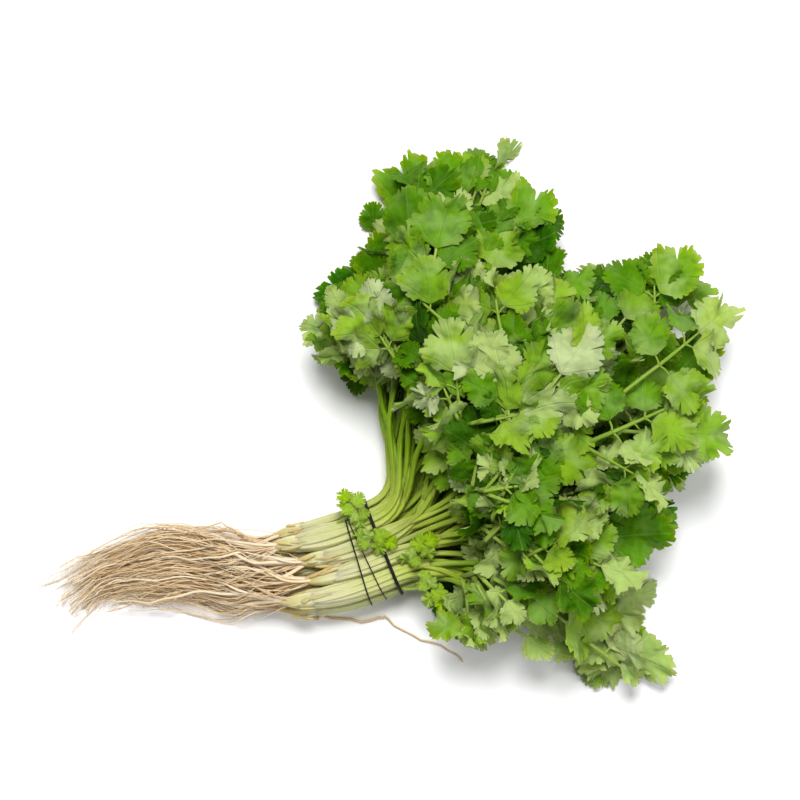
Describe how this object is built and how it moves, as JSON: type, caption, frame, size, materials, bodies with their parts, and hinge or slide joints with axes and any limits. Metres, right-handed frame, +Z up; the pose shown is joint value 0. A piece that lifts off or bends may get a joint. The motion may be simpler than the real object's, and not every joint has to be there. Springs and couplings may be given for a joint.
{
  "type": "coriander bunch",
  "caption": "Fresh coriander lying on its side: whole plants with their pale roots, tied at the stems by dark rubber bands, leaves fanned out to one side",
  "frame": {"origin": "on the surface that the bunch lies on, under the middle of its bounding box", "axes": "+X from the root tips towards the leaves, +Y towards the side that the tallest leaves lean to, +Z up from the surface"},
  "size_m": [0.3334, 0.269, 0.0864],
  "materials": {
    "root": "matte",
    "stem": "satin",
    "leaf": "satin",
    "band": "matte"
  },
  "bodies": {
    "root": {"plant_01_leaves_inner": "leaf", "plant_01_leaves_outer": "leaf", "plant_01_stems": "stem", "plant_01_taproot": "root", "plant_02_leaves_inner": "leaf", "plant_02_leaves_outer": "leaf", "plant_02_stems": "stem", "plant_02_taproot": "root", "plant_03_leaves_inner": "leaf", "plant_03_leaves_outer": "leaf", "plant_03_stems": "stem", "plant_03_taproot": "root", "plant_04_leaves_inner": "leaf", "plant_04_leaves_outer": "leaf", "plant_04_stems": "stem", "plant_04_taproot": "root", "plant_05_leaves_inner": "leaf", "plant_05_leaves_outer": "leaf", "plant_05_stems": "stem", "plant_05_taproot": "root", "plant_06_leaves_inner": "leaf", "plant_06_leaves_outer": "leaf", "plant_06_stems": "stem", "plant_06_taproot": "root", "plant_07_leaves_inner": "leaf", "plant_07_leaves_outer": "leaf", "plant_07_stems": "stem", "plant_07_taproot": "root", "plant_08_leaves_inner": "leaf", "plant_08_leaves_outer": "leaf", "plant_08_stems": "stem", "plant_08_taproot": "root", "plant_09_leaves_inner": "leaf", "plant_09_leaves_outer": "leaf", "plant_09_stems": "stem", "plant_09_taproot": "root", "plant_10_leaves_inner": "leaf", "plant_10_leaves_outer": "leaf", "plant_10_stems": "stem", "plant_10_taproot": "root", "plant_11_leaves_inner": "leaf", "plant_11_leaves_outer": "leaf", "plant_11_stems": "stem", "plant_11_taproot": "root", "plant_12_leaves_inner": "leaf", "plant_12_leaves_outer": "leaf", "plant_12_stems": "stem", "plant_12_taproot": "root", "plant_13_leaves_inner": "leaf", "plant_13_leaves_outer": "leaf", "plant_13_stems": "stem", "plant_13_taproot": "root", "rubber_band_lower": "band", "rubber_band_upper": "band"}
  },
  "joints": []
}
